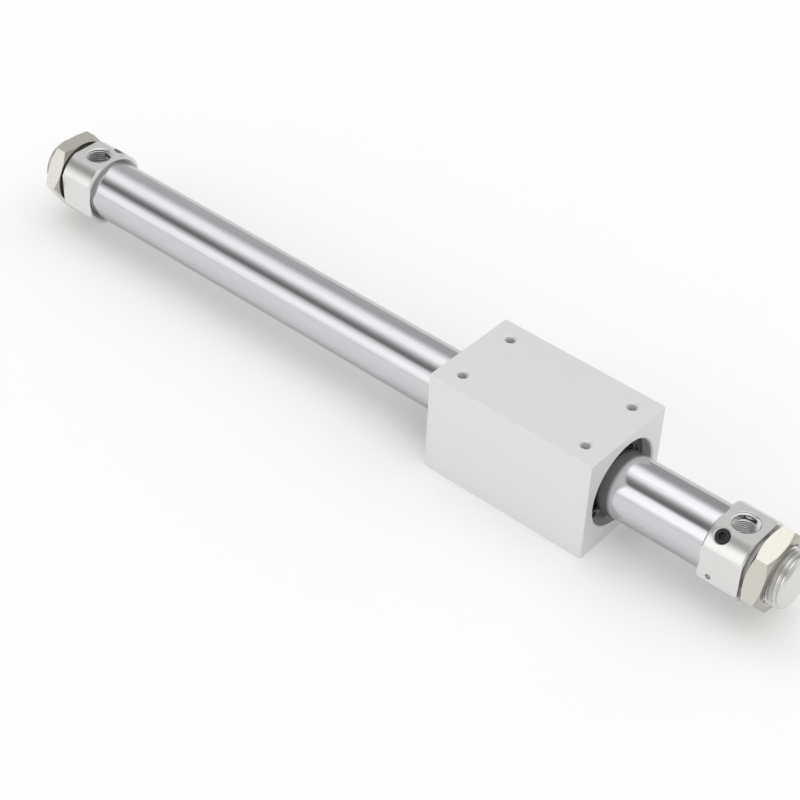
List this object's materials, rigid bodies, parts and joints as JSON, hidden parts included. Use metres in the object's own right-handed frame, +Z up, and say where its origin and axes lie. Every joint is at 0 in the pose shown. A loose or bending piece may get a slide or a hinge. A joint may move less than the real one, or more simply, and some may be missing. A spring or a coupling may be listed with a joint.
{
  "type": "rodless pneumatic cylinder",
  "caption": "Magnetically coupled rodless air cylinder: a square block with tapped holes rides on a plain polished tube between two ported head covers with threaded bosses and thin hex nuts.",
  "frame": {"origin": "on the tube's axis at half the cylinder's overall length", "axes": "+X along the tube towards the right head cover, +Z up, out of the ports and of the block's tapped face"},
  "size_m": [0.332, 0.04, 0.04],
  "materials": {
    "tube_steel": "polished stainless steel",
    "block_aluminium": "matte satin anodised",
    "cover_aluminium": "satin, fine turned",
    "nut_nickel": "bright nickel plate",
    "black_steel": "black oxide",
    "spring_steel": "phosphated spring steel",
    "plain_steel": "zinc plated",
    "soft_iron": "zinc plated soft iron",
    "magnet_plating": "nickel plated rare-earth magnet",
    "black_rubber": "nitrile rubber",
    "bearing_resin": "filled bearing resin",
    "oiled_felt": "oil-soaked felt"
  },
  "bodies": {
    "cylinder": {"cylinder_tube": "tube_steel", "left_head_cover": "cover_aluminium", "left_set_screw": "black_steel", "left_tube_gasket": "black_rubber", "left_bumper": "black_rubber", "right_head_cover": "cover_aluminium", "right_set_screw": "black_steel", "right_tube_gasket": "black_rubber", "right_bumper": "black_rubber"},
    "slider_bearing": {"left_slider_wear_ring": "bearing_resin", "right_slider_wear_ring": "bearing_resin"},
    "slider": {"slider_body": "block_aluminium", "slider_yokes": "soft_iron", "slider_magnets": "magnet_plating", "left_bearing_collar": "cover_aluminium", "left_lube_retainer": "oiled_felt", "left_scraper": "black_rubber", "left_keeper_ring": "plain_steel", "left_circlip": "spring_steel", "right_bearing_collar": "cover_aluminium", "right_lube_retainer": "oiled_felt", "right_scraper": "black_rubber", "right_keeper_ring": "plain_steel", "right_circlip": "spring_steel"},
    "piston": {"piston_shaft": "plain_steel", "piston_yokes": "soft_iron", "piston_magnets": "magnet_plating", "left_piston": "cover_aluminium", "left_piston_guide_ring": "bearing_resin", "left_piston_seal": "black_rubber", "left_piston_nut": "plain_steel", "right_piston": "cover_aluminium", "right_piston_guide_ring": "bearing_resin", "right_piston_seal": "black_rubber", "right_piston_nut": "plain_steel"},
    "left_nut": {"left_mounting_nut": "nut_nickel"},
    "right_nut": {"right_mounting_nut": "nut_nickel"}
  },
  "joints": [
    {"name": "slider_slide", "type": "slide", "parent": "cylinder", "child": "slider_bearing", "axis": [1, 0, 0], "range_m": [-0.1673, 0.0327]},
    {"name": "slider_turn", "type": "hinge", "parent": "slider_bearing", "child": "slider", "pos_m": [0.0673, 0, 0], "axis": [1, 0, 0], "continuous": true},
    {"name": "piston_slide", "type": "slide", "parent": "cylinder", "child": "piston", "axis": [1, 0, 0], "range_m": [-0.1673, 0.0327]},
    {"name": "left_nut_slide", "type": "slide", "parent": "cylinder", "child": "left_nut", "axis": [-1, 0, 0], "range_m": [-0.0014, 0.005]},
    {"name": "right_nut_slide", "type": "slide", "parent": "cylinder", "child": "right_nut", "axis": [1, 0, 0], "range_m": [-0.0014, 0.005]}
  ],
  "couplings": [
    {"joint": "piston_slide", "follows": "slider_slide", "ratio": 1}
  ]
}
